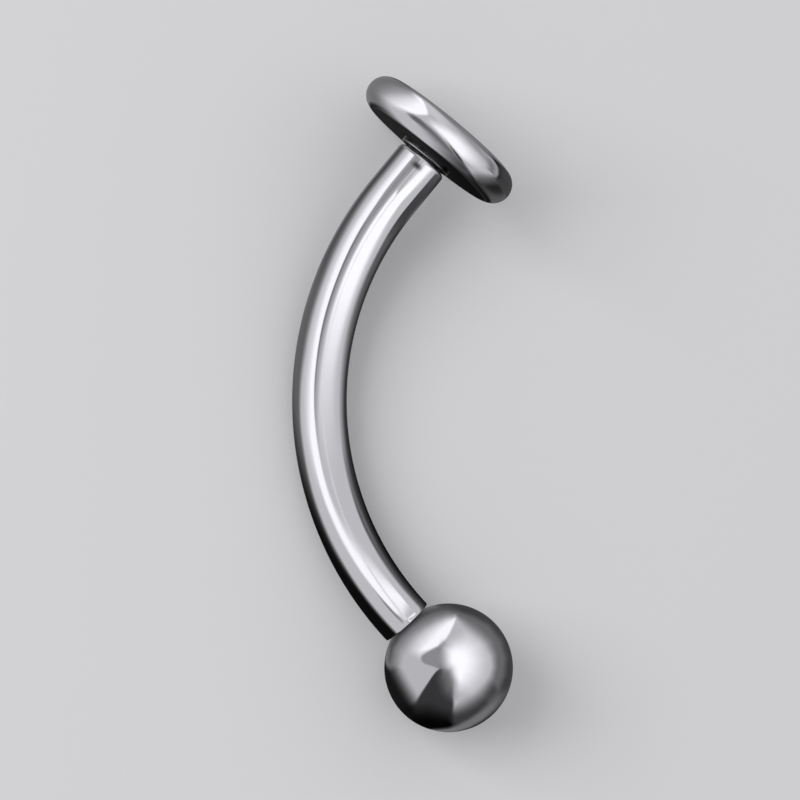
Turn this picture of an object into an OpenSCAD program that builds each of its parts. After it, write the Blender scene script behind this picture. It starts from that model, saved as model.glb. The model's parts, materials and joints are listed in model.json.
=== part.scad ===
// Vertical labret, lying on its side as it comes to rest by itself.
// A curved bar carries a round-edged disc on one end and a ball on the other. Both screw in:
// the disc and the ball each have a post that goes into a blind hole in the bar's end.
//
// The pieces are drawn in the bend's own frame, then laid down together. In that frame the
// origin is the middle of the bar's bulge, X runs from the bulge to the centre of the bend,
// Y points to the disc's end, and Z is square to the bend.
// At rest the floor is z = 0, and the origin is the middle of the footprint.

/* [Bar] */
// Thickness of the bar, which is 16 gauge wire
bar_d = 1.27; // [1.2:0.01:1.6]
// Radius of the bend, to the middle of the bar
bend_r = 7.5; // [7:0.1:9]
// How far the bar turns from end to end, in degrees
bend_angle = 82; // [70:0.5:90]
// Straight length between the bend and the disc's end of the bar
disc_run = 1.1; // [0.2:0.05:1.5]
// Straight length between the bend and the ball's end of the bar
ball_run = 0.12; // [0.12:0.02:1]
// Diameter of the straight ends, which are turned a hair thinner than the wire
end_d = 1.26; // [1.1:0.01:1.26]
// Rounding of the edge at each end of the bar
end_round = 0.1; // [0.04:0.01:0.11]

/* [Disc] */
// Diameter of the disc
disc_d = 4.15; // [3.5:0.05:5]
// Thickness of the disc, whose rim is a full half round
disc_t = 0.86; // [0.6:0.02:1]
// Diameter of the low boss under the disc
boss_d = 1.34; // [1.2:0.02:1.7]
// Height of the boss under the disc
boss_h = 0.12; // [0.08:0.01:0.2]
// Rounding of the boss's lower edge
boss_round = 0.04; // [0.01:0.01:0.07]
// Gap between the boss and the end of the bar
disc_gap = 0.05; // [0.02:0.01:0.1]

/* [Ball] */
// Diameter of the ball
ball_d = 3; // [2.5:0.1:4]
// Diameter of the flat on the ball where the bar seats
seat_d = 0.96; // [0.92:0.02:1.2]
// Gap between the flat on the ball and the end of the bar
ball_gap = 0.02; // [0.01:0.01:0.05]

/* [Posts] */
// Diameter of the posts on the disc and the ball
post_d = 0.9; // [0.7:0.02:0.9]
// How far each post reaches into the bar
post_len = 1.1; // [0.6:0.05:1.1]
// Gap all round each post, and past its end
post_gap = 0.02; // [0.01:0.01:0.03]

/* [Hidden] */
$fn = 128;
// Slight blue in the grey of polished steel
steel = [0.76, 0.77, 0.79];
// How far a solid is carried into its neighbour where the two are one piece
merge = 0.1;
half_turn = bend_angle / 2;
rim_r = disc_t / 2;
// From the flat on the ball to its centre
seat_depth = sqrt(pow(ball_d / 2, 2) - pow(seat_d / 2, 2));
// Heights above the end of the bar, out along its axis
disc_under = disc_gap + boss_h;
disc_mid = disc_under + disc_t / 2;
ball_mid = ball_gap + seat_depth;
// The rest position is found by correcting a first guess this many times
SETTLE_STEPS = 40;

// A point of the bar's centre line, at a turn of so many degrees from the bulge's middle.
function bend_point(turn) = [bend_r * (1 - cos(turn)), bend_r * sin(turn), 0];

// The way out along the bar at one end: side is 1 at the disc and -1 at the ball.
function way_out(side) = [sin(half_turn), side * cos(half_turn), 0];

// A point on the axis of one end, at a distance out from where the bend stops.
function end_point(side, out) = bend_point(side * half_turn) + out * way_out(side);

disc_c = end_point(1, disc_run + disc_mid);
ball_c = end_point(-1, ball_run + ball_mid);

// How far each piece reaches in a direction, which is a unit vector.
function ball_reach(dir) = ball_c * dir + ball_d / 2;
function disc_reach(dir) =
    disc_c * dir + (disc_d / 2 - rim_r) * sqrt(1 - pow(way_out(1) * dir, 2)) + rim_r;
function bend_reach(dir) =
    let (turn = max(-half_turn, min(half_turn, atan2(dir.y, -dir.x))))
    bend_point(turn) * dir + bar_d / 2;
function reach(dir) = max(ball_reach(dir), disc_reach(dir), bend_reach(dir));

// The upward direction in the bend's frame, with the ball, the disc's rim and the bulge all
// touching the floor. Each step turns the object until their low points are nearer to level.
function upward(x, y) = [x, y, sqrt(1 - x * x - y * y)];
function settle(up, steps) =
    let (
        down = -up,
        disc_over = disc_reach(down) - ball_reach(down),
        bend_over = bend_reach(down) - ball_reach(down)
    )
    steps == 0
        ? up
        : settle(
            upward(up.x - bend_over / ball_c.x, up.y + disc_over / (disc_c.y - ball_c.y)),
            steps - 1
        );

rest_up = settle(upward(0.4, 0), SETTLE_STEPS);
pitch = asin(rest_up.y);
roll = asin(rest_up.x / cos(pitch));
// The row frame's X and Y directions in the bend's frame
rest_x = [cos(roll), 0, -sin(roll)];
rest_y = [-sin(roll) * sin(pitch), cos(pitch), -cos(roll) * sin(pitch)];

// Lays the bend's frame down on the floor, with the footprint's middle at the origin.
module lie_down() {
    translate([
        (reach(-rest_x) - reach(rest_x)) / 2,
        (reach(-rest_y) - reach(rest_y)) / 2,
        reach(-rest_up)
    ])
        rotate([pitch, 0, 0])
            rotate([0, -roll, 0])
                children();
}

// Puts Z along the way out at one end of the bar, with z = 0 at the end of the bar.
module at_end(side, run) {
    translate(end_point(side, run))
        rotate([0, 90, side * (90 - half_turn)])
            children();
}

// A round bar along Z, from z = 0 up to its height, with its upper edge rounded.
module round_ended(d, height, edge_r) {
    rotate_extrude() {
        square([d / 2 - edge_r, height]);
        square([d / 2, height - edge_r]);
        translate([d / 2 - edge_r, height - edge_r])
            intersection() {
                circle(r = edge_r);
                square(edge_r);
            }
    }
}

// The bent wire, with a straight end at each side and a blind hole in each end.
module bar() {
    color(steel)
        lie_down()
            difference() {
                union() {
                    translate([bend_r, 0, 0])
                        rotate([0, 0, 180 - half_turn])
                            rotate_extrude(angle = bend_angle)
                                translate([bend_r, 0])
                                    circle(d = bar_d);
                    at_end(1, -merge)
                        round_ended(end_d, disc_run + merge, end_round);
                    at_end(-1, -merge)
                        round_ended(end_d, ball_run + merge, end_round);
                }
                at_end(1, disc_run)
                    post_hole();
                at_end(-1, ball_run)
                    post_hole();
            }
}

// The blind hole for a post, open past the end of the bar.
module post_hole() {
    translate([0, 0, -post_len - post_gap])
        cylinder(d = post_d + 2 * post_gap, h = post_len + post_gap + merge);
}

// The post of the disc or the ball, from inside the bar up to the height where it joins.
module post(join_z) {
    translate([0, 0, -post_len])
        cylinder(d = post_d, h = post_len + join_z);
}

// The half-round-edged disc, with its boss and its post underneath.
module disc() {
    color(steel)
        lie_down()
            at_end(1, disc_run) {
                translate([0, 0, disc_under])
                    rotate_extrude() {
                        square([disc_d / 2 - rim_r, disc_t]);
                        translate([disc_d / 2 - rim_r, rim_r])
                            intersection() {
                                circle(r = rim_r);
                                translate([0, -rim_r])
                                    square([rim_r, disc_t]);
                            }
                    }
                translate([0, 0, disc_under + merge])
                    mirror([0, 0, 1])
                        round_ended(boss_d, boss_h + merge, boss_round);
                post(disc_under + merge);
            }
}

// The ball, with the small flat that meets the bar and its post.
module ball() {
    color(steel)
        lie_down()
            at_end(-1, ball_run) {
                difference() {
                    translate([0, 0, ball_mid])
                        sphere(d = ball_d);
                    translate([0, 0, ball_gap - merge])
                        cylinder(d = ball_d, h = merge);
                }
                post(ball_gap + merge);
            }
}

bar();
disc();
ball();
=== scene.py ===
"""A vertical labret in mirror-polished steel, lying on a pale floor among studio light tents.

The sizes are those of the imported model. The bend's own frame is worked out from the record's
two mounts. The bar is modelled in it, and the disc and the ball each in the frame of their own
end of the bar, and each piece is then laid in its place.
"""

import json
import math
from collections import namedtuple

import bpy
import numpy as np
from mathutils import Matrix, Vector


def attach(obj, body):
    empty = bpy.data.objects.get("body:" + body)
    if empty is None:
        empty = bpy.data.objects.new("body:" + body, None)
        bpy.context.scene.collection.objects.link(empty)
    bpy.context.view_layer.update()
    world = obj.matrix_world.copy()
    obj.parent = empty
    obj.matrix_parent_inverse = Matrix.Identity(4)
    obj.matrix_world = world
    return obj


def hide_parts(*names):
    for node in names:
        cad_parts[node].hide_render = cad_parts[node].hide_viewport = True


bl_info = {
    "name": "Vertical Labret",
    "version": (1, 0, 0),
    "blender": (4, 5, 0),
    "location": "3D View > Sidebar > Labret",
    "description": "Builds a curved steel lip bar with a disc and a ball, and lights it",
    "category": "Add Mesh",
}

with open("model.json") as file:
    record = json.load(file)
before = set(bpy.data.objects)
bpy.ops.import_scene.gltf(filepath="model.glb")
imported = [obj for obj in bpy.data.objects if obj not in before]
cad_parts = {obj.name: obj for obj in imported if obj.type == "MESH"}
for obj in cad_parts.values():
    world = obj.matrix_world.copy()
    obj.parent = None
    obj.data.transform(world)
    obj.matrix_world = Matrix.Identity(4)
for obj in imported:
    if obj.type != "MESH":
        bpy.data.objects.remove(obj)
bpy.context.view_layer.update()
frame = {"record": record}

MM = 0.001
BODY = "root"

# The two mounts that the bend's frame is worked out from
MOUNTS = {mount["name"]: mount for mount in frame["record"]["mounts"]}
BULGE = Vector(MOUNTS["piercing"]["pos_m"])
ALONG = Vector(MOUNTS["piercing"]["axis"])
TO_DISC = -Vector(MOUNTS["disc_seat"]["axis"])
WIRE_RADIUS = MOUNTS["piercing"]["dims"]["r_mm"] * MM

# How finely the round forms are divided, so that a mirror finish shows no facets
WIRE_SIDES = 128
BEND_STEPS = 192
DISC_SIDES = 320
RIM_SIDES = 96
BALL_SIDES = 320
BALL_RINGS = 160
EDGE_STEPS = 6
SMOOTH_ANGLE = math.radians(28)
# Points closer than this are one point
SAME_PLACE = 1e-7
# Slack in telling whether a point lies on a plane or a circle
NEAR = 2e-6
# For the weighted normals: 50 is neutral, and above it the large faces count for more
LARGE_FACES_LEAD = 100


def as_light(shade):
    """sRGB shades from 0 to 255 as linear light."""
    part = shade / 255
    return np.where(part <= 0.04045, part / 12.92, ((part + 0.055) / 1.055) ** 2.4)


def linear(hex_colour):
    """An sRGB hex colour as linear red, green, blue and alpha."""
    shades = np.array([int(hex_colour[i:i + 2], 16) for i in (1, 3, 5)])
    return (*as_light(shades).tolist(), 1.0)


def length(name, description, millimetres):
    """A length that the user may change."""
    return bpy.props.FloatProperty(
        name=name, description=description, default=millimetres * MM, min=0.0,
        unit="LENGTH", precision=5)


def angle(name, description, degrees):
    """An angle that the user may change."""
    return bpy.props.FloatProperty(
        name=name, description=description, default=math.radians(degrees), subtype="ANGLE")


def colour(name, description, hex_colour):
    """A colour that the user may change."""
    return bpy.props.FloatVectorProperty(
        name=name, description=description, default=linear(hex_colour), size=4,
        subtype="COLOR", min=0.0, max=1.0)


class LabretBar(bpy.types.PropertyGroup):
    """Sizes of the curved bar."""

    thickness: length("Thickness", "Thickness of the 16 gauge wire", 2 * WIRE_RADIUS / MM)
    bend_radius: length("Bend radius", "Radius of the bend, to the middle of the wire", 7.5)
    bend_angle: angle("Bend angle", "How far the bar turns from end to end", 82)
    disc_run: length("Run at the disc", "Straight length between the bend and the disc's end", 1.1)
    ball_run: length("Run at the ball", "Straight length between the bend and the ball's end", 0.12)
    disc_end_round: length("Rounding at the disc", "Rounding of the bar's edge at the disc", 0.1)
    ball_end_round: length("Rounding at the ball", "Rounding of the bar's edge at the ball", 0.03)
    post_thickness: length("Post thickness", "Thickness of the posts on disc and ball", 0.9)
    post_length: length("Post length", "How far each post reaches into the bar", 1.1)
    post_gap: length("Post gap", "Gap all round each post, and past its end", 0.02)


class LabretDisc(bpy.types.PropertyGroup):
    """Sizes of the disc."""

    width: length("Width", "Diameter of the disc", 4.15)
    thickness: length("Thickness", "Thickness of the disc, whose rim is a full half round", 0.86)
    boss_width: length("Boss width", "Diameter of the low boss under the disc", 1.34)
    boss_height: length("Boss height", "Height of the boss under the disc", 0.12)
    boss_round: length("Boss rounding", "Rounding of the lower edge of the boss", 0.04)
    gap: length("Gap", "Gap between the boss and the end of the bar", 0.05)


class LabretBall(bpy.types.PropertyGroup):
    """Sizes of the ball."""

    width: length("Width", "Diameter of the ball", 3.0)
    seat_width: length("Seat width", "Diameter of the flat where the bar seats", 0.96)
    gap: length("Gap", "Gap between the flat and the end of the bar", 0.02)


class LabretFinish(bpy.types.PropertyGroup):
    """Colours and finish."""

    steel: colour("Steel", "Colour of the polished steel", "#CBCBD0")
    roughness: bpy.props.FloatProperty(
        name="Roughness", description="Roughness of the polished steel",
        default=0.045, min=0.0, max=1.0, subtype="FACTOR")
    floor: colour("Floor", "Colour of the pale floor", "#E4E4E6")


class LabretCamera(bpy.types.PropertyGroup):
    """Where the camera stands, from the photograph."""

    distance: length("Distance", "From the camera to the object", 150)
    frame_width: length("Frame width", "Width that the picture shows at the object", 18.64)
    left_of_middle: length("Middle to the left", "How far the object's middle is left out", 1.022)
    above_middle: length(
        "Middle above", "How far the picture's middle is above the object's", 0.091)
    over_bulge: angle("Over the bulge", "How far the view leans over the bulge of the bend", 5.5)
    over_disc: angle("Over the disc", "How far the view leans over the disc's end", 0.5)
    roll: angle("Roll", "How far the picture is turned", 1.46)


class Labret(bpy.types.PropertyGroup):
    """All the settings."""

    bar: bpy.props.PointerProperty(type=LabretBar)
    disc: bpy.props.PointerProperty(type=LabretDisc)
    ball: bpy.props.PointerProperty(type=LabretBall)
    finish: bpy.props.PointerProperty(type=LabretFinish)
    camera: bpy.props.PointerProperty(type=LabretCamera)


def settings():
    """The settings on the scene."""
    return bpy.context.scene.labret


# Places


def bend_point(turn):
    """A point of the bar's centre line in the bend's frame, at a turn from the bulge's middle."""
    radius = settings().bar.bend_radius
    return Vector((radius * (1 - math.cos(turn)), radius * math.sin(turn), 0))


def way_out(side):
    """The way out along the bar in the bend's frame. side is 1 at the disc, -1 at the ball."""
    half = settings().bar.bend_angle / 2
    return Vector((math.sin(half), side * math.cos(half), 0))


def end_point(side, out):
    """A point on the axis of one end in the bend's frame, at a distance out from the bend."""
    return bend_point(side * settings().bar.bend_angle / 2) + out * way_out(side)


def bend_frame():
    """The bend's frame: origin at the bulge, X to the bend's centre, Y towards the disc."""
    half = settings().bar.bend_angle / 2
    inward = ((TO_DISC - math.cos(half) * ALONG) / math.sin(half)).normalized()
    axes = Matrix((inward, ALONG, inward.cross(ALONG))).transposed().to_4x4()
    return Matrix.Translation(BULGE) @ axes


def end_frame(side, run):
    """The frame of one end of the bar: Z along the way out, and z = 0 at the end of the bar."""
    half = settings().bar.bend_angle / 2
    swing = Matrix.Rotation(side * (math.pi / 2 - half), 4, "Z")
    tip_over = Matrix.Rotation(math.pi / 2, 4, "Y")
    return bend_frame() @ Matrix.Translation(end_point(side, run)) @ swing @ tip_over


def ball_middle():
    """The height of the ball's centre above the end of the bar."""
    ball = settings().ball
    return ball.gap + math.sqrt((ball.width / 2) ** 2 - (ball.seat_width / 2) ** 2)


def disc_underside():
    """The height of the disc's flat underside above the end of the bar."""
    return settings().disc.gap + settings().disc.boss_height


def object_middle():
    """Halfway between the middles of the ball and the disc."""
    bar = settings().bar
    ball = end_frame(-1, bar.ball_run) @ Vector((0, 0, ball_middle()))
    disc = end_frame(1, bar.disc_run) @ Vector(
        (0, 0, disc_underside() + settings().disc.thickness / 2))
    return (ball + disc) / 2


def camera_axes():
    """Right, up and towards the camera, as the photograph has them."""
    view = settings().camera
    inward, along, square = (bend_frame().col[i].to_3d() for i in range(3))
    towards = math.cos(view.over_bulge) * square - math.sin(view.over_bulge) * inward
    towards = math.cos(view.over_disc) * towards + math.sin(view.over_disc) * along
    up = (along - along.dot(towards) * towards).normalized()
    right = up.cross(towards)
    turn = Matrix.Rotation(-view.roll, 3, towards)
    return turn @ right, turn @ up, towards


def picture_middle():
    """The place at the object that the middle of the picture shows."""
    view = settings().camera
    right, up, _ = camera_axes()
    return object_middle() - view.left_of_middle * right + view.above_middle * up


# Modelling by hand


def start_piece():
    """Leaves edit mode with nothing selected, so that operators act on the new piece alone."""
    if bpy.context.mode != "OBJECT":
        bpy.ops.object.mode_set(mode="OBJECT")
    bpy.ops.object.select_all(action="DESELECT")


def pick(kind, wanted):
    """Selects the points, edges or faces of the active piece whose places wanted says yes to.

    wanted is asked about a face's middle, and about both ends of an edge.
    """
    bpy.ops.object.mode_set(mode="OBJECT")
    mesh = bpy.context.object.data
    for parts in (mesh.vertices, mesh.edges, mesh.polygons):
        parts.foreach_set("select", np.zeros(len(parts), bool))
    if kind == "FACE":
        for face in mesh.polygons:
            face.select = wanted(face.center)
    elif kind == "EDGE":
        yes = [wanted(point.co) for point in mesh.vertices]
        for edge in mesh.edges:
            edge.select = yes[edge.vertices[0]] and yes[edge.vertices[1]]
    else:
        for point in mesh.vertices:
            point.select = wanted(point.co)
    bpy.ops.object.mode_set(mode="EDIT")
    bpy.ops.mesh.select_mode(type=kind)


def from_axis(place):
    """The distance of a place from the Z axis."""
    return math.hypot(place.x, place.y)


def ring_at(radius, height):
    """A test for the points of a circle about Z."""
    return lambda place: abs(place.z - height) < NEAR and abs(from_axis(place) - radius) < NEAR


def extrude(way):
    """Extrudes what is selected along a way."""
    bpy.ops.mesh.extrude_region_move(TRANSFORM_OT_translate={"value": way})


def lay_down(place):
    """Lays the active piece in its place, and leaves its object at the origin, unturned."""
    bpy.ops.object.mode_set(mode="OBJECT")
    bpy.context.object.matrix_world = place
    bpy.ops.object.transform_apply(location=True, rotation=True, scale=True)


def finish_piece(name, node):
    """Closes seams, turns faces outwards, smooths, polishes and attaches the active piece, and
    hides its node.
    """
    piece = bpy.context.object
    bpy.ops.object.mode_set(mode="EDIT")
    bpy.ops.mesh.select_all(action="SELECT")
    bpy.ops.mesh.remove_doubles(threshold=SAME_PLACE)
    bpy.ops.mesh.normals_make_consistent(inside=False)
    bpy.ops.object.mode_set(mode="OBJECT")
    bpy.ops.object.shade_smooth_by_angle(angle=SMOOTH_ANGLE)
    # The large faces keep their own normals, and the roundings bend to meet them
    bpy.ops.object.modifier_add(type="WEIGHTED_NORMAL")
    weighted = piece.modifiers[-1]
    weighted.weight = LARGE_FACES_LEAD
    weighted.keep_sharp = True
    bpy.ops.object.modifier_apply(modifier=weighted.name)
    piece.name = name
    piece.data.name = name
    piece.data.materials.append(polished_steel())
    # Its neighbours don't mirror it, as each piece of the photograph was lit by itself
    piece.visible_glossy = False
    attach(piece, BODY)
    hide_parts(node)


def shape_end(side, run, rounding):
    """Runs the open end of the wire out straight, drills it and rounds its edge."""
    bar = settings().bar
    hole_radius = bar.post_thickness / 2 + bar.post_gap
    way = way_out(side)
    tip = end_point(side, run)
    extrude(run * way)
    bpy.ops.mesh.edge_face_add()
    bpy.ops.mesh.inset(thickness=bar.thickness / 2 - hole_radius)
    extrude(-(bar.post_length + bar.post_gap) * way)

    def on_outer_edge(place):
        out = (place - tip).dot(way)
        return abs(out) < NEAR and (place - tip).length > (hole_radius + bar.thickness / 2) / 2

    pick("EDGE", on_outer_edge)
    bpy.ops.mesh.bevel(offset=rounding, segments=EDGE_STEPS, profile=0.5)


def make_bar():
    """The bent wire: one ring of the wire spun about the bend's centre, then both its ends."""
    bar = settings().bar
    half = bar.bend_angle / 2
    start_piece()
    bpy.ops.mesh.primitive_circle_add(
        vertices=WIRE_SIDES, radius=bar.thickness / 2, fill_type="NOTHING",
        location=bend_point(-half), rotation=(math.pi / 2, 0, half))
    bpy.ops.object.transform_apply(location=True, rotation=True, scale=True)
    bpy.ops.object.mode_set(mode="EDIT")
    bpy.ops.mesh.select_all(action="SELECT")
    bpy.ops.mesh.spin(
        steps=BEND_STEPS, angle=bar.bend_angle, center=(bar.bend_radius, 0, 0), axis=(0, 0, 1))
    shape_end(1, bar.disc_run, bar.disc_end_round)
    ball_stop = end_point(-1, 0)
    pick("EDGE", lambda place: abs((place - ball_stop).dot(way_out(-1))) < NEAR)
    shape_end(-1, bar.ball_run, bar.ball_end_round)
    lay_down(bend_frame())
    finish_piece("bar_polished", "bar")


def add_post(from_radius, drop):
    """Insets the selected flat to the post's thickness, and pulls the post out of it."""
    bar = settings().bar
    bpy.ops.mesh.inset(thickness=from_radius - bar.post_thickness / 2)
    extrude(Vector((0, 0, -drop)))


def make_disc():
    """The outer half of a ring for the rim, filled flat on both sides, with boss and post."""
    bar = settings().bar
    disc = settings().disc
    rim = disc.thickness / 2
    flat = disc.width / 2 - rim
    under = disc_underside()
    start_piece()
    bpy.ops.mesh.primitive_torus_add(
        major_radius=flat, minor_radius=rim, major_segments=DISC_SIDES,
        minor_segments=RIM_SIDES, location=(0, 0, under + rim))
    bpy.ops.object.transform_apply(location=True, rotation=True, scale=True)
    pick("VERT", lambda place: from_axis(place) < flat - NEAR)
    bpy.ops.mesh.delete(type="VERT")
    pick("EDGE", ring_at(flat, under + disc.thickness))
    bpy.ops.mesh.edge_face_add()
    bpy.ops.mesh.inset(thickness=flat / 2)
    bpy.ops.mesh.poke()
    pick("EDGE", ring_at(flat, under))
    bpy.ops.mesh.edge_face_add()
    bpy.ops.mesh.inset(thickness=flat - disc.boss_width / 2)
    extrude(Vector((0, 0, -disc.boss_height)))
    add_post(disc.boss_width / 2, disc.gap + bar.post_length)
    pick("EDGE", ring_at(disc.boss_width / 2, disc.gap))
    bpy.ops.mesh.bevel(offset=disc.boss_round, segments=EDGE_STEPS, profile=0.5)
    lay_down(end_frame(1, bar.disc_run))
    finish_piece("disc_polished", "disc")


def make_ball():
    """The ball, cut flat where the bar seats, with its post."""
    bar = settings().bar
    ball = settings().ball
    start_piece()
    bpy.ops.mesh.primitive_uv_sphere_add(
        segments=BALL_SIDES, ring_count=BALL_RINGS, radius=ball.width / 2,
        location=(0, 0, ball_middle()))
    bpy.ops.object.transform_apply(location=True, rotation=True, scale=True)
    bpy.ops.object.mode_set(mode="EDIT")
    bpy.ops.mesh.select_all(action="SELECT")
    bpy.ops.mesh.bisect(
        plane_co=(0, 0, ball.gap), plane_no=(0, 0, 1), use_fill=True, clear_inner=True,
        threshold=SAME_PLACE)
    pick("FACE", lambda place: place.z < ball.gap + NEAR)
    add_post(ball.seat_width / 2, ball.gap + bar.post_length)
    lay_down(end_frame(-1, bar.ball_run))
    finish_piece("ball_polished", "ball")


# Materials


def add_node(tree, kind, set_values=None, links=None, **attributes):
    """Adds a node with its attributes, its sockets' values and the sockets that feed it."""
    node = tree.nodes.new(kind)
    for name, value in attributes.items():
        setattr(node, name, value)
    for socket, value in (set_values or {}).items():
        node.inputs[socket].default_value = value
    for socket, source in (links or {}).items():
        tree.links.new(source, node.inputs[socket])
    return node


def new_material(name):
    """An empty node material with its output."""
    material = bpy.data.materials.new(name)
    material.use_nodes = True
    material.node_tree.nodes.clear()
    return material


def painted_boss_reflection_frame():
    """The frame of the boss's painted dark reflection at the disc's end of the bar, on the side of
    the camera.
    """
    below_end = 0.25 * MM
    bar = settings().bar
    along = end_frame(1, bar.disc_run).to_3x3().col[2]
    outward = camera_axes()[2]
    outward = (outward - outward.dot(along) * along).normalized()
    axes = Matrix((outward.cross(along), -outward, along)).transposed().to_4x4()
    axis_point = bend_frame() @ end_point(1, bar.disc_run - below_end)
    return Matrix.Translation(axis_point + bar.thickness / 2 * outward) @ axes


def polished_steel():
    """316L surgical steel, turned or drawn and then polished on a soft wheel to a mirror.

    It gives the eye sharp reflections in a very slightly blue grey, with a faint long waviness
    left by the wheel and duller patches from handling. Its colour also holds painted shade in
    the crevices and a painted dark reflection of the boss in the bar's end below the disc.
    """
    name = "Steel 316L mirror polished"
    if name in bpy.data.materials:
        return bpy.data.materials[name]
    material = new_material(name)
    tree = material.node_tree
    finish = settings().finish
    place = add_node(tree, "ShaderNodeTexCoord").outputs["Object"]
    # The wheel leaves waves about 0.6 mm long and well under a micron high
    wave_length = 0.6 * MM
    wave_height = 0.00035 * MM
    waves = add_node(tree, "ShaderNodeTexNoise", {"Scale": 1 / wave_length, "Detail": 1.0},
                     {"Vector": place})
    bump = add_node(tree, "ShaderNodeBump", {"Strength": 1.0, "Distance": wave_height},
                    {"Height": waves.outputs["Fac"]})
    # Handling dulls the polish in patches about 0.9 mm across
    patch_length = 0.9 * MM
    sharpest = finish.roughness * 0.7
    dullest = finish.roughness * 1.4
    patches = add_node(tree, "ShaderNodeTexNoise", {"Scale": 1 / patch_length, "Detail": 3.0},
                       {"Vector": place})
    gloss = add_node(tree, "ShaderNodeMapRange",
                     {"From Min": 0.3, "From Max": 0.7, "To Min": sharpest, "To Max": dullest},
                     {"Value": patches.outputs["Fac"]})
    # Painted shade: the colour darkens in a piece's own crevices, by how closed in they are
    crevice = 0.5 * MM
    closed_in = 0.7
    wide_open = 0.98
    openness = add_node(tree, "ShaderNodeAmbientOcclusion", {"Distance": crevice}, samples=8,
                        only_local=True)
    crevice_shade_factor = add_node(tree, "ShaderNodeMapRange", {"From Min": closed_in, "From Max": wide_open},
                     {"Value": openness.outputs["AO"]})
    # Painted reflection: the boss's dark reflection is painted into the end of the bar just below
    # it.
    # It is darkest in a small part of its reach, and fades out a little past it.
    reflection_frame = painted_boss_reflection_frame()
    reflection_reach = (0.17 * MM, 0.17 * MM, 0.09 * MM)
    darkest_within = 0.1
    clear_past = 1.2
    brightness_left = 0.1
    from_reflection = add_node(tree, "ShaderNodeMapping",
                         {"Location": reflection_frame.to_translation(), "Rotation": reflection_frame.to_euler(),
                          "Scale": reflection_reach},
                         {"Vector": place}, vector_type="TEXTURE")
    off_reflection_middle = add_node(tree, "ShaderNodeVectorMath", links={0: from_reflection.outputs["Vector"]},
                        operation="LENGTH")
    outside_painted_reflection = add_node(tree, "ShaderNodeMapRange",
                        {"From Min": darkest_within, "From Max": clear_past,
                         "To Min": brightness_left},
                        {"Value": off_reflection_middle.outputs["Value"]}, interpolation_type="SMOOTHSTEP")
    # Painted shade in the crevices and the boss's painted reflection darken the steel's colour
    # towards near black
    painted_light_factor = add_node(tree, "ShaderNodeMath",
                          links={0: crevice_shade_factor.outputs["Result"], 1: outside_painted_reflection.outputs["Result"]},
                          operation="MULTIPLY")
    steel_with_painted_shade = add_node(tree, "ShaderNodeMix", {"A": linear("#1C1C1E"), "B": finish.steel},
                    {"Factor": painted_light_factor.outputs["Value"]}, data_type="RGBA")
    shader = add_node(tree, "ShaderNodeBsdfPrincipled", {"Metallic": 1.0},
                      {"Base Color": steel_with_painted_shade.outputs["Result"], "Roughness": gloss.outputs["Result"],
                       "Normal": bump.outputs["Normal"]})
    add_node(tree, "ShaderNodeOutputMaterial", links={"Surface": shader.outputs["BSDF"]})
    return material


def matt_floor():
    """Pale matt paper: no gloss, one even colour."""
    material = new_material("Paper matt")
    tree = material.node_tree
    shader = add_node(tree, "ShaderNodeBsdfDiffuse", {"Color": settings().finish.floor})
    add_node(tree, "ShaderNodeOutputMaterial", links={"Surface": shader.outputs["BSDF"]})
    return material


# Light tents
#
# Each piece is lit by a tent of its own, as a jewellery photographer lights each part of a
# piece in turn. A tent is a dome with soft-edged patches of paper and flags inside it. A patch
# is placed by where it shows in the piece. In the ball and the disc that is how far across and
# up from the middle of a polished ball, in ball radii. In the bar it is how far across, from
# -1 at the bulge's side to 1 at the hollow side, and how far along from the bulge's middle, in
# cm as if the bend ran on. A patch's shade is how bright it shows in polished steel, from 0 to
# 255. Its softness is the width of its edge, and a corner may have a softness of its own.
# Later patches lie over earlier ones.

Patch = namedtuple("Patch", "name shade softness outline")
Tent = namedtuple("Tent", "shade patches")

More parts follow.
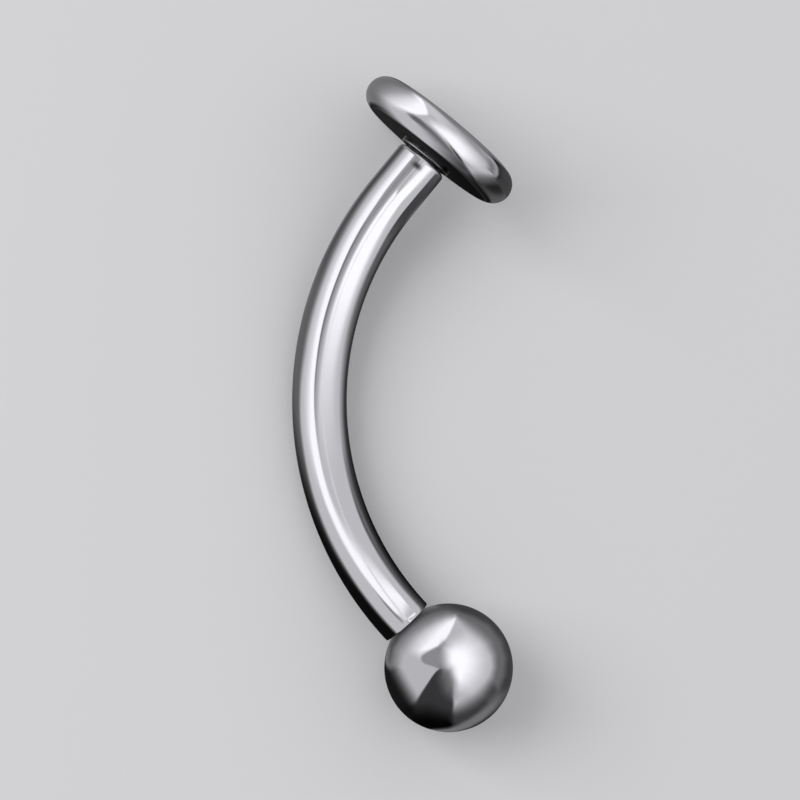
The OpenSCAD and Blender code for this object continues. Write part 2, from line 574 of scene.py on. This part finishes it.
TENTS = {
    "ball": Tent(22, (
        Patch("rim grey", 58, 0.16, (
            (-0.6, 1.1), (0.6, 1.1), (1.1, 0.6), (1.15, -0.2), (0.9, -0.5), (0.55, -0.8),
            (0.2, -0.95), (0.0, -0.8), (0.4, 0.0), (-0.5, 0.6))),
        Patch("top band", 102, 0.12, (
            (-1.1, -0.05), (-1.1, 0.5), (-0.75, 0.85), (-0.4, 1.1), (-0.15, 0.95),
            (0.15, 0.89, 0.08), (0.42, 0.79), (0.66, 0.64), (0.84, 0.38, 0.14),
            (0.9, 0.1, 0.14), (0.86, -0.15, 0.14), (0.76, -0.35, 0.14), (0.4, 0.0, 0.2),
            (-0.6, 0.2, 0.2), (-0.9, -0.08))),
        Patch("dark arc", 76, 0.08, (
            (-0.92, 0.05), (-0.88, 0.25), (-0.78, 0.45), (-0.62, 0.63), (-0.45, 0.78),
            (-0.25, 0.87), (0.0, 0.93), (0.2, 0.9), (0.0, 0.96), (-0.25, 0.92),
            (-0.47, 0.83), (-0.66, 0.7), (-0.82, 0.5), (-0.93, 0.27))),
        Patch("left panel", 180, 0.3, (
            (-0.83, 0.0, 0.22), (-0.78, 0.25), (-0.68, 0.41), (-0.54, 0.56),
            (-0.38, 0.67, 0.25), (-0.2, 0.77, 0.2), (0.0, 0.83, 0.14), (0.12, 0.82, 0.1),
            (0.2, 0.5, 0.1), (0.0, 0.0, 0.1), (-0.3, -0.6, 0.1), (-0.53, -0.52),
            (-0.64, -0.36), (-0.73, -0.22), (-0.8, -0.1))),
        Patch("right panel", 182, 0.25, (
            (-0.05, 0.0, 0.1), (-0.05, 0.6, 0.1), (0.1, 0.82, 0.08), (0.22, 0.74, 0.16),
            (0.37, 0.62), (0.5, 0.51), (0.62, 0.38), (0.7, 0.2, 0.18), (0.71, 0.0, 0.14),
            (0.66, -0.16, 0.16), (0.59, -0.3), (0.5, -0.41, 0.3), (0.38, -0.5, 0.3),
            (0.22, -0.59, 0.3), (0.06, -0.66), (0.03, -0.4, 0.04))),
        Patch("strip light", 250, 0.25, (
            (-0.46, 0.22, 0.22), (-0.34, 0.27, 0.07), (-0.17, 0.35, 0.04),
            (-0.06, 0.44, 0.04), (0.02, 0.56, 0.04), (0.09, 0.7, 0.04), (0.12, 0.785, 0.05),
            (-0.03, 0.74, 0.14), (-0.18, 0.65, 0.2), (-0.33, 0.53, 0.3), (-0.45, 0.4, 0.35),
            (-0.51, 0.28, 0.35))),
        Patch("notch", 138, 0.04, (
            (-0.43, 0.17), (-0.4, 0.21), (-0.3, 0.27), (-0.17, 0.34, 0.05),
            (-0.08, 0.4, 0.2), (-0.05, 0.3, 0.4), (-0.05, 0.1, 0.4), (-0.08, 0.0, 0.2),
            (-0.13, -0.005, 0.03), (-0.25, 0.035, 0.03), (-0.37, 0.07, 0.03), (-0.42, 0.11))),
        Patch("main light", 255, 0.5, (
            (-0.03, 0.3, 0.24), (0.1, 0.38, 0.3), (0.28, 0.42), (0.42, 0.32), (0.47, 0.12),
            (0.42, -0.08), (0.3, -0.24), (0.15, -0.29, 0.3), (0.06, -0.14, 0.18),
            (-0.02, 0.02, 0.22))),
        Patch("dark wedge", 52, 0.05, (
            (-0.13, 0.005, 0.03), (-0.2, -0.05, 0.03), (-0.26, -0.13, 0.03),
            (-0.31, -0.21, 0.03), (-0.36, -0.29, 0.03), (-0.41, -0.37, 0.04),
            (-0.46, -0.46), (-0.5, -0.56, 0.08), (-0.56, -0.8, 0.15), (-0.5, -1.1, 0.1),
            (0.03, -1.1), (0.055, -0.85), (0.065, -0.5), (0.055, -0.3, 0.08),
            (0.025, -0.18, 0.2), (-0.03, -0.08, 0.24), (-0.08, -0.02, 0.12))),
        Patch("light side of the wedge", 116, 0.3, (
            (-0.1, 0.0), (0.02, -0.02), (0.07, -0.25), (0.05, -0.42), (-0.04, -0.34),
            (-0.1, -0.15))),
        Patch("black under the wedge", 4, 0.4, (
            (-0.6, -0.68), (-0.3, -0.66), (0.0, -0.74, 0.3), (0.06, -0.85, 0.05),
            (0.06, -1.1, 0.05), (-0.6, -1.1))),
        Patch("low right arc", 108, 0.08, (
            (-0.2, -1.02), (-0.2, -0.96), (0.0, -0.925), (0.15, -0.87), (0.3, -0.79),
            (0.45, -0.69), (0.58, -0.58, 0.14), (0.66, -0.48, 0.28), (0.74, -0.42, 0.36),
            (0.8, -0.46, 0.36), (0.78, -0.56, 0.28), (0.68, -0.68, 0.14), (0.5, -0.82),
            (0.3, -0.93), (0.1, -1.0))),
    )),
    "disc": Tent(12, (
        Patch("rim grey", 60, 0.14, (
            (0.3, 0.95), (0.62, 0.66), (0.86, 0.35), (0.84, 0.0), (0.8, -0.2), (0.66, -0.38),
            (0.5, -0.55), (0.2, -0.7), (-0.15, -0.84, 0.2), (-0.15, -1.1, 0.2), (0.7, -1.1),
            (1.1, -0.3), (1.1, 0.6), (0.6, 1.1), (0.2, 1.1))),
        Patch("low band", 78, 0.1, (
            (-0.05, -0.95), (0.12, -0.92), (0.3, -0.87), (0.5, -0.79), (0.62, -0.7),
            (0.72, -0.6), (0.8, -0.7), (0.5, -1.1), (-0.1, -1.1))),
        Patch("dark under the right panel", 34, 0.14, (
            (0.1, -0.84), (0.3, -0.72), (0.5, -0.61), (0.64, -0.56), (0.66, -0.64),
            (0.5, -0.77), (0.28, -0.85))),
        Patch("grey along the top edge", 108, 0.12, (
            (0.3, 0.8), (0.45, 0.72), (0.6, 0.58), (0.72, 0.45), (0.82, 0.45), (1.1, 0.6),
            (0.6, 1.1), (0.3, 1.1))),
        Patch("top band", 108, 0.15, (
            (-1.1, -0.3, 0.3), (-1.1, 0.5), (-0.74, 0.74, 0.12),
            (-0.45, 0.97, 0.12), (0.0, 1.04, 0.1), (0.22, 0.98), (0.4, 0.86),
            (0.3, 0.6, 0.2), (-0.4, 0.3, 0.3), (-0.8, -0.3, 0.3))),
        Patch("left panel", 184, 0.1, (
            (-0.845, 0.0, 0.17), (-0.845, -0.15, 0.17), (-0.845, -0.3, 0.2),
            (-0.82, -0.47, 0.2), (-0.75, -0.6, 0.12), (-0.66, -0.69, 0.08),
            (-0.5, -0.75, 0.14), (-0.3, -0.78, 0.2), (-0.16, -0.76), (-0.1, -0.7, 0.05),
            (0.0, 0.0), (0.25, 0.84, 0.08), (0.12, 0.85, 0.14), (-0.05, 0.81, 0.25),
            (-0.26, 0.74, 0.35), (-0.45, 0.63, 0.4), (-0.62, 0.49, 0.42), (-0.75, 0.31, 0.34),
            (-0.82, 0.14, 0.22))),
        Patch("right panel", 176, 0.05, (
            (0.2, 0.88, 0.06), (0.34, 0.82, 0.16), (0.46, 0.71, 0.26), (0.56, 0.61, 0.3),
            (0.66, 0.5, 0.26), (0.75, 0.4, 0.16), (0.82, 0.25, 0.06), (0.83, 0.1),
            (0.81, -0.05), (0.77, -0.2), (0.67, -0.36, 0.1), (0.585, -0.455, 0.2),
            (0.475, -0.54, 0.24), (0.325, -0.63, 0.26), (0.13, -0.72, 0.24), (-0.07, -0.8, 0.14),
            (-0.1, -0.7), (0.0, -0.5), (0.0, 0.3, 0.1))),
        Patch("edge light", 164, 0.05, (
            (0.76, 0.46), (0.81, 0.35), (0.845, 0.2), (0.85, 0.08), (0.82, -0.08),
            (0.78, -0.2), (0.7, -0.33), (0.66, -0.36), (0.68, -0.3), (0.75, -0.15),
            (0.79, 0.0), (0.81, 0.15), (0.79, 0.32))),
        Patch("dull paper at the right", 142, 0.25, (
            (0.48, 0.6), (0.62, 0.52), (0.73, 0.35), (0.76, 0.1), (0.74, -0.1),
            (0.66, 0.05), (0.56, 0.32))),
        Patch("dim end of the right panel", 102, 0.14, (
            (0.61, -0.26), (0.69, -0.12), (0.74, 0.05), (0.77, 0.2), (0.8, 0.1), (0.78, -0.04),
            (0.73, -0.18), (0.68, -0.32))),
        Patch("strip light", 252, 0.05, (
            (-0.66, 0.1, 0.36), (-0.5, 0.12, 0.2), (-0.4, 0.15, 0.1), (-0.3, 0.2, 0.07),
            (-0.15, 0.3), (-0.03, 0.38), (0.05, 0.48), (0.12, 0.6), (0.2, 0.72),
            (0.25, 0.81), (0.16, 0.82, 0.1), (0.03, 0.72, 0.18), (-0.13, 0.63, 0.24),
            (-0.31, 0.51, 0.32), (-0.46, 0.4, 0.4), (-0.59, 0.29, 0.44), (-0.66, 0.2, 0.44))),
        Patch("paper under the strip", 196, 0.06, (
            (0.05, 0.47, 0.04), (0.13, 0.6, 0.04), (0.21, 0.72, 0.04), (0.27, 0.8, 0.05),
            (0.36, 0.7, 0.2), (0.38, 0.5, 0.25), (0.25, 0.4, 0.2))),
        Patch("main light", 252, 0.45, (
            (-0.11, 0.12, 0.2), (0.0, 0.22, 0.3), (0.2, 0.3), (0.38, 0.24, 0.5),
            (0.47, 0.03, 0.5), (0.44, -0.19, 0.5), (0.34, -0.34), (0.18, -0.43, 0.34),
            (0.07, -0.43, 0.24), (0.0, -0.28, 0.2), (-0.05, -0.1, 0.2))),
        Patch("grey band", 102, 0.1, (
            (-0.5, 0.05, 0.14), (-0.4, 0.11, 0.12), (-0.31, 0.09, 0.16), (-0.24, 0.0, 0.2),
            (-0.16, -0.12, 0.22), (-0.11, -0.25, 0.22), (-0.06, -0.42, 0.22),
            (-0.03, -0.55, 0.16), (-0.04, -0.66, 0.08), (-0.12, -0.75, 0.06),
            (-0.24, -0.76, 0.2), (-0.32, -0.62, 0.5), (-0.34, -0.42, 0.5),
            (-0.37, -0.25, 0.34), (-0.44, -0.13, 0.18), (-0.52, -0.06))),
        Patch("dark end of the grey band", 98, 0.14, (
            (-0.48, 0.03), (-0.42, 0.07), (-0.35, 0.05), (-0.33, -0.02), (-0.36, -0.1),
            (-0.44, -0.07))),
        Patch("dim low end of the left panel", 62, 0.24, (
            (-0.46, -0.84, 0.5), (-0.41, -0.7, 0.5), (-0.33, -0.65, 0.4), (-0.17, -0.61),
            (-0.09, -0.62), (-0.06, -0.7), (-0.12, -0.8))),
    )),
    "bar": Tent(12, (
        Patch("grey at the hollow side", 48, 0.16, (
            (0.5, 1.2), (1.1, 1.2), (1.1, 0.15, 0.1), (1.02, -0.03), (0.95, -0.12),
            (0.9, -0.25), (0.88, -0.38), (0.93, -0.5), (1.05, -0.6), (1.05, -1.2),
            (0.5, -1.2))),
        Patch("lighter shade", 88, 0.14, (
            (0.6, 1.2), (0.86, 1.2), (0.86, 0.55), (0.88, 0.35), (0.88, 0.2), (0.86, 0.05),
            (0.83, -0.05), (0.79, -0.15), (0.77, -0.3), (0.78, -0.45), (0.82, -0.6),
            (0.82, -1.2), (0.5, -1.2))),
        Patch("darker shade at the disc's end", 64, 0.1, (
            (0.5, 1.2), (0.9, 1.2), (0.9, 0.6), (0.88, 0.46), (0.5, 0.46))),
        Patch("grey at the bulge's side", 94, 0.06, (
            (-1.1, 1.2), (-1.1, 0.1, 0.3), (-1.02, -0.02, 0.3), (-0.93, -0.12, 0.3),
            (-0.84, -0.2, 0.3), (-0.74, -0.3, 0.3), (-0.6, -0.3), (-0.6, 1.2))),
        Patch("edge light", 120, 0.04, (
            (-1.1, 1.2), (-1.1, 0.3), (-1.0, 0.28, 0.2), (-0.955, 0.4), (-0.955, 1.2))),
        Patch("dark line by the edge light", 66, 0.06, (
            (-0.93, 1.2), (-0.93, 0.5), (-0.93, 0.36, 0.2), (-0.89, 0.34, 0.2), (-0.87, 0.5),
            (-0.87, 1.2))),
        Patch("paper", 186, 0.14, (
            (0.615, 1.2, 0.03), (0.615, 0.5, 0.03), (0.635, 0.45, 0.06), (0.67, 0.4, 0.1),
            (0.69, 0.3, 0.2), (0.71, 0.2, 0.26), (0.75, 0.1, 0.3), (0.76, 0.03, 0.3),
            (0.74, -0.05, 0.3), (0.7, -0.1, 0.26), (0.65, -0.15, 0.18), (0.61, -0.2, 0.1),
            (0.585, -0.25, 0.08), (0.58, -0.3, 0.08), (0.6, -0.37, 0.1), (0.63, -0.42, 0.12),
            (0.68, -0.5, 0.12), (0.7, -0.6, 0.1), (0.7, -1.2, 0.1), (-0.6, -1.2),
            (-0.6, -0.55), (-0.62, -0.5), (-0.68, -0.4), (-0.735, -0.3, 0.16), (-0.76, -0.2),
            (-0.76, -0.1, 0.12), (-0.775, -0.02, 0.12), (-0.76, 0.06, 0.14),
            (-0.73, 0.14, 0.2), (-0.73, 0.3, 0.2), (-0.755, 0.4, 0.2), (-0.78, 0.5, 0.18),
            (-0.79, 0.6, 0.16), (-0.79, 1.2, 0.16))),
        Patch("fading light", 226, 0.4, (
            (-0.13, 1.2, 0.2), (-0.13, 0.24, 0.2), (-0.09, 0.12, 0.3), (-0.1, 0.0, 0.3),
            (0.0, -0.02), (0.2, -0.02), (0.38, 0.02), (0.44, 0.1, 0.36), (0.5, 0.25, 0.3),
            (0.46, 0.4, 0.2), (0.32, 0.5, 0.1), (0.28, 1.2, 0.1))),
        Patch("main light", 255, 0.12, (
            (-0.1, 1.2), (0.31, 1.2, 0.05), (0.32, 0.56, 0.05), (0.34, 0.52, 0.06),
            (0.38, 0.45, 0.1), (0.42, 0.38, 0.18), (0.46, 0.3, 0.3), (0.42, 0.22, 0.3),
            (0.3, 0.19, 0.3), (0.1, 0.19, 0.3), (-0.06, 0.22, 0.24), (-0.1, 0.32, 0.14),
            (-0.1, 0.5))),
        Patch("grey band", 158, 0.16, (
            (-0.4, 1.2, 0.04), (-0.4, 0.54, 0.04), (-0.36, 0.5, 0.03), (-0.335, 0.4, 0.03),
            (-0.305, 0.3, 0.03), (-0.3, 0.2, 0.03), (-0.28, 0.1, 0.03), (-0.285, 0.03, 0.03),
            (-0.27, -0.06, 0.1), (-0.2, -0.03, 0.2), (-0.15, 0.05, 0.24), (-0.13, 0.15, 0.24),
            (-0.12, 0.25, 0.2), (-0.12, 0.4, 0.14), (-0.11, 0.5, 0.12), (-0.11, 0.6, 0.12),
            (-0.11, 1.2, 0.12))),
        Patch("dark in the grey band", 114, 0.1, (
            (-0.33, 0.44, 0.06), (-0.305, 0.3, 0.06), (-0.3, 0.2, 0.06), (-0.28, 0.08, 0.06),
            (-0.25, 0.06), (-0.23, 0.2), (-0.24, 0.3), (-0.27, 0.44))),
        Patch("dull in the grey band", 140, 0.12, (
            (-0.33, 1.2), (-0.32, 0.5), (-0.25, 0.42), (-0.2, 0.5), (-0.2, 1.2))),
        Patch("glow beside the strip", 214, 0.22, (
            (-0.62, 0.6), (-0.6, 0.3), (-0.58, 0.1), (-0.6, -0.05), (-0.54, -0.14),
            (-0.42, -0.1), (-0.42, 0.3), (-0.5, 0.6))),
        Patch("strip light", 250, 0.04, (
            (-0.58, 1.2, 0.2), (-0.58, 0.56, 0.2), (-0.56, 0.5, 0.2), (-0.54, 0.4, 0.18),
            (-0.5, 0.3, 0.14), (-0.47, 0.2, 0.12), (-0.46, 0.1, 0.16), (-0.47, 0.0, 0.18),
            (-0.49, -0.05, 0.14), (-0.48, -0.1, 0.12), (-0.44, -0.2, 0.08),
            (-0.4, -0.25, 0.08), (-0.36, -0.3, 0.1), (-0.31, -0.35, 0.08),
            (-0.26, -0.4, 0.06), (-0.22, -0.43), (-0.17, -0.47, 0.03), (-0.145, -0.5, 0.02),
            (-0.13, -0.522, 0.02), (0.1, -0.517, 0.02), (0.41, -0.508, 0.03),
            (0.42, -0.49, 0.04), (0.39, -0.45, 0.08), (0.25, -0.4, 0.16),
            (0.05, -0.35, 0.18), (-0.1, -0.3, 0.15), (-0.17, -0.25, 0.12),
            (-0.21, -0.2, 0.1), (-0.235, -0.15, 0.08), (-0.245, -0.1, 0.06),
            (-0.265, -0.03, 0.04), (-0.275, 0.0, 0.03), (-0.285, 0.05, 0.03),
            (-0.28, 0.1, 0.03), (-0.3, 0.2, 0.03), (-0.305, 0.3, 0.03), (-0.335, 0.4, 0.03),
            (-0.36, 0.5, 0.03), (-0.4, 0.54), (-0.4, 1.2))),
        Patch("line beside the strip", 104, 0.04, (
            (-0.24, -0.45), (-0.19, -0.48), (-0.16, -0.51), (-0.1, -0.526), (-0.16, -0.532),
            (-0.2, -0.525), (-0.23, -0.49))),
        Patch("grey on the shoulder at the disc", 142, 0.08, (
            (-0.9, 0.7), (-0.14, 0.7, 0.05), (-0.14, 1.2, 0.05), (-0.9, 1.2))),
        Patch("grey on the shoulder at the ball", 180, 0.06, (
            (-0.1, 0.6), (0.8, 0.6), (0.8, 1.2), (-0.1, 1.2))),
        Patch("streak in the shade", 112, 0.05, (
            (0.66, -0.1), (0.7, -0.17), (0.71, -0.25), (0.73, -0.33), (0.69, -0.33),
            (0.67, -0.25), (0.65, -0.17))),
        Patch("edge light at the hollow side", 98, 0.05, (
            (0.92, 0.48), (1.0, 0.46), (1.1, 0.6), (1.1, 1.2), (0.94, 1.2), (0.93, 0.62))),
    )),
}

TENT_RADIUS = 500 * MM
TENT_SIDES = 320
TENT_RINGS = 256
# Each tent is larger than the one inside it by this part of the first
TENT_STEP = 0.02
# Stands in for a length of nothing, so that it can be divided by
LEAST_LENGTH = 1e-6


def patch_cover(across, up, patch):
    """How much a patch covers each place, from 0 to 1, by the softness of its nearest edge."""
    nearest = np.full(across.shape, np.inf)
    width = np.full(across.shape, patch.softness)
    inside = np.zeros(across.shape, bool)
    corners = [(*corner, patch.softness)[:3] for corner in patch.outline]
    for (ax, ay, soft_a), (bx, by, soft_b) in zip(corners, corners[1:] + corners[:1]):
        dx, dy = bx - ax, by - ay
        part = np.clip(((across - ax) * dx + (up - ay) * dy) / (dx * dx + dy * dy), 0, 1)
        away = np.hypot(across - ax - part * dx, up - ay - part * dy)
        width = np.where(away < nearest, soft_a + part * (soft_b - soft_a), width)
        nearest = np.minimum(nearest, away)
        if dy:
            beside = across < ax + (up - ay) * dx / dy
            inside ^= ((ay > up) != (by > up)) & beside
    cover = np.clip(0.5 + np.where(inside, nearest, -nearest) / width, 0, 1)
    return cover * cover * (3 - 2 * cover)


def tent_shades(across, up, tent):
    """The shade of the tent where it shows at these places."""
    shade = np.full(across.shape, float(tent.shade))
    for patch in tent.patches:
        shade += (patch.shade - shade) * patch_cover(across, up, patch)
    return shade


def bar_middle():
    """Where the middle of the bar's places shows, as inward and along in the bend's frame.

    A mirror seems to turn by slip for each metre that it stands off the picture's middle. Over
    the whole bend that moves the middle, and adds slip times the bend's radius to the across.
    """
    slip = (1 / settings().camera.distance + 1 / TENT_RADIUS) / 2
    radius = settings().bar.bend_radius
    picture = bend_frame().inverted() @ picture_middle()
    return slip * (radius - picture.x), -slip * picture.y, slip * radius


def places_in(node, facing):
    """Where a piece shows the light that it mirrors when it seems to face these ways."""
    if node != "bar":
        right, up, _ = camera_axes()
        return facing @ right, facing @ up
    middle_inward, middle_along, added = bar_middle()
    inward, along = (facing @ bend_frame().col[i].to_3d() for i in range(2))
    inward -= middle_inward
    along -= middle_along
    side = np.where(inward < 0, -1, 1)
    turn = np.arctan2(-side * along, side * inward)
    across = side * np.hypot(inward, along) + added
    return across, turn * settings().bar.bend_radius / (10 * MM)


def tent_cloth():
    """Lit paper that only adds its light, so that what lies behind it still shows."""
    name = "Tent paper lit"
    if name in bpy.data.materials:
        return bpy.data.materials[name]
    material = new_material(name)
    tree = material.node_tree
    light = add_node(tree, "ShaderNodeAttribute", attribute_name="light")
    glow = add_node(tree, "ShaderNodeEmission", {"Color": (1, 1, 1, 1)},
                    {"Strength": light.outputs["Fac"]})
    clear = add_node(tree, "ShaderNodeBsdfTransparent", {"Color": (1, 1, 1, 1)})
    both = add_node(tree, "ShaderNodeAddShader", links={0: glow.outputs[0], 1: clear.outputs[0]})
    add_node(tree, "ShaderNodeOutputMaterial", links={"Surface": both.outputs[0]})
    material.cycles.emission_sampling = "NONE"
    return material


def make_dome():
    """A bare dome, still to be placed and painted for its piece."""
    start_piece()
    bpy.ops.mesh.primitive_uv_sphere_add(
        segments=TENT_SIDES, ring_count=TENT_RINGS, radius=TENT_RADIUS)
    dome = bpy.context.object
    dome.data.materials.append(tent_cloth())
    dome.visible_camera = False
    dome.visible_diffuse = False
    dome.visible_shadow = False
    return dome


def light_piece(dome, node, tent):
    """Makes the dome the tent that lights one piece alone."""
    dome.name = "tent_" + node
    towards = camera_axes()[2]
    middle = towards
    if node == "bar":
        inward, along, _ = bar_middle()
        middle = (bend_frame().to_3x3() @ Vector((inward, along, 1))).normalized()
    # The dome's own pole shows in the middle of the piece's places, where they are closest
    pole = 2 * middle.dot(towards) * middle - towards
    turned = pole.to_track_quat("Z", "Y").to_matrix()
    dome.matrix_world = Matrix.Translation(picture_middle()) @ turned.to_4x4()
    places = np.empty(len(dome.data.vertices) * 3, np.float32)
    dome.data.vertices.foreach_get("co", places)
    ways = places.reshape(-1, 3) / TENT_RADIUS @ np.array(turned.transposed())
    # A mirror that shows a point of the dome faces halfway between it and the camera
    facing = ways + towards
    facing /= np.maximum(np.linalg.norm(facing, axis=1, keepdims=True), LEAST_LENGTH)
    # A shade is what polished steel shows, so the paper is brighter by what the steel takes
    steel_grey = sum(settings().finish.steel[:3]) / 3
    light = as_light(tent_shades(*places_in(node, facing), tent)) / steel_grey
    glow = dome.data.attributes.new("light", "FLOAT", "POINT")
    glow.data.foreach_set("value", light.astype(np.float32))
    lit = bpy.data.collections.new("lit_by_" + dome.name)
    lit.objects.link(bpy.data.objects[node + "_polished"])
    dome.light_linking.receiver_collection = lit


def make_tents():
    """A tent for each piece, one inside another. The dome is modelled once and copied."""
    domes = [make_dome()]
    for _ in range(len(TENTS) - 1):
        bpy.ops.object.duplicate()
        domes.append(bpy.context.object)
    for step, (dome, (node, tent)) in enumerate(zip(domes, TENTS.items())):
        light_piece(dome, node, tent)
        dome.scale = (1 + step * TENT_STEP,) * 3


# Floor, room light and camera

FLOOR_WIDTH = 2000 * MM
# The soft box that casts the shadow, from the object's middle
BOX_DISTANCE = 300 * MM
BOX_WIDTH = 160 * MM
BOX_LEFT = -0.5
BOX_UP = 0.25
BOX_TOWARDS = 1.0
BOX_POWER = 0.45
ROOM_LIGHT = 0.55
# The camera shows nothing nearer or farther than this
NEAREST_SHOWN = 1 * MM
FARTHEST_SHOWN = 10.0


def make_floor():
    """The pale floor that the object lies on. Polished steel doesn't show it."""
    start_piece()
    bpy.ops.mesh.primitive_plane_add(size=FLOOR_WIDTH)
    floor = bpy.context.object
    floor.name = "floor"
    floor.data.materials.append(matt_floor())
    floor.visible_glossy = False


def make_lights():
    """Even light from the room for the floor, and one soft box for the shadow."""
    world = bpy.data.worlds.new("Studio")
    bpy.context.scene.world = world
    world.use_nodes = True
    tree = world.node_tree
    tree.nodes.clear()
    ray = add_node(tree, "ShaderNodeLightPath")
    # The steel doesn't mirror the room, which lights the floor alone
    dull = add_node(tree, "ShaderNodeMath", {0: 1.0}, {1: ray.outputs["Is Glossy Ray"]},
                    operation="SUBTRACT")
    strength = add_node(tree, "ShaderNodeMath", {0: ROOM_LIGHT}, {1: dull.outputs[0]},
                        operation="MULTIPLY")
    room = add_node(tree, "ShaderNodeBackground", {"Color": linear("#FFFFFF")},
                    {"Strength": strength.outputs[0]})
    add_node(tree, "ShaderNodeOutputWorld", links={"Surface": room.outputs[0]})
    right, up, towards = camera_axes()
    aside = (BOX_LEFT * right + BOX_UP * up + BOX_TOWARDS * towards).normalized()
    bpy.ops.object.light_add(type="AREA", location=object_middle() + BOX_DISTANCE * aside)
    box = bpy.context.object
    box.name = "soft_box"
    box.rotation_euler = aside.to_track_quat("Z", "Y").to_euler()
    box.data.shape = "SQUARE"
    box.data.size = BOX_WIDTH
    box.data.energy = BOX_POWER
    box.visible_glossy = False


def make_camera():
    """The camera, at the photograph's angle to the object."""
    view = settings().camera
    right, up, towards = camera_axes()
    bpy.ops.object.camera_add(location=picture_middle() + view.distance * towards)
    camera = bpy.context.object
    camera.name = "camera"
    camera.rotation_euler = Matrix((right, up, towards)).transposed().to_euler()
    camera.data.lens = camera.data.sensor_width * view.distance / view.frame_width
    camera.data.clip_start = NEAREST_SHOWN
    camera.data.clip_end = FARTHEST_SHOWN
    bpy.context.scene.camera = camera


def make_stage():
    """The floor, the tents, the lights and the camera."""
    make_floor()
    make_tents()
    make_lights()
    make_camera()
    scene = bpy.context.scene
    scene.view_settings.view_transform = "Standard"
    scene.view_settings.look = "None"


# Operators and panel


class MakeBar(bpy.types.Operator):
    """Make the curved bar"""

    bl_idname = "labret.make_bar"
    bl_label = "Bar"

    def execute(self, context):
        make_bar()
        return {"FINISHED"}


class MakeDisc(bpy.types.Operator):
    """Make the disc with its boss and post"""

    bl_idname = "labret.make_disc"
    bl_label = "Disc"

    def execute(self, context):
        make_disc()
        return {"FINISHED"}


class MakeBall(bpy.types.Operator):
    """Make the ball with its post"""

    bl_idname = "labret.make_ball"
    bl_label = "Ball"

    def execute(self, context):
        make_ball()
        return {"FINISHED"}


class MakeStage(bpy.types.Operator):
    """Make the floor, the tents, the lights and the camera"""

    bl_idname = "labret.make_stage"
    bl_label = "Stage"

    def execute(self, context):
        make_stage()
        return {"FINISHED"}


class LabretPanel(bpy.types.Panel):
    """Sizes, finish and buttons of the labret"""

    bl_idname = "VIEW3D_PT_labret"
    bl_label = "Vertical labret"
    bl_space_type = "VIEW_3D"
    bl_region_type = "UI"
    bl_category = "Labret"

    def draw(self, context):
        labret = context.scene.labret
        for title, group in (
            ("Bar", labret.bar), ("Disc", labret.disc), ("Ball", labret.ball),
            ("Finish", labret.finish), ("Camera", labret.camera),
        ):
            box = self.layout.box()
            box.label(text=title)
            for name in group.__annotations__:
                box.prop(group, name)
        for operator in OPERATORS:
            self.layout.operator(operator.bl_idname)


SETTINGS = (LabretBar, LabretDisc, LabretBall, LabretFinish, LabretCamera, Labret)
OPERATORS = (MakeBar, MakeDisc, MakeBall, MakeStage)


def register():
    """Registers the classes and puts the settings on the scene."""
    for cls in (*SETTINGS, *OPERATORS, LabretPanel):
        bpy.utils.register_class(cls)
    bpy.types.Scene.labret = bpy.props.PointerProperty(type=Labret)


def unregister():
    """Takes the settings off the scene and the classes out again."""
    del bpy.types.Scene.labret
    for cls in reversed((*SETTINGS, *OPERATORS, LabretPanel)):
        bpy.utils.unregister_class(cls)


def main():
    """Builds the labret and its stage."""
    register()
    bpy.ops.labret.make_bar()
    bpy.ops.labret.make_disc()
    bpy.ops.labret.make_ball()
    bpy.ops.labret.make_stage()


if __name__ == "__main__":
    main()
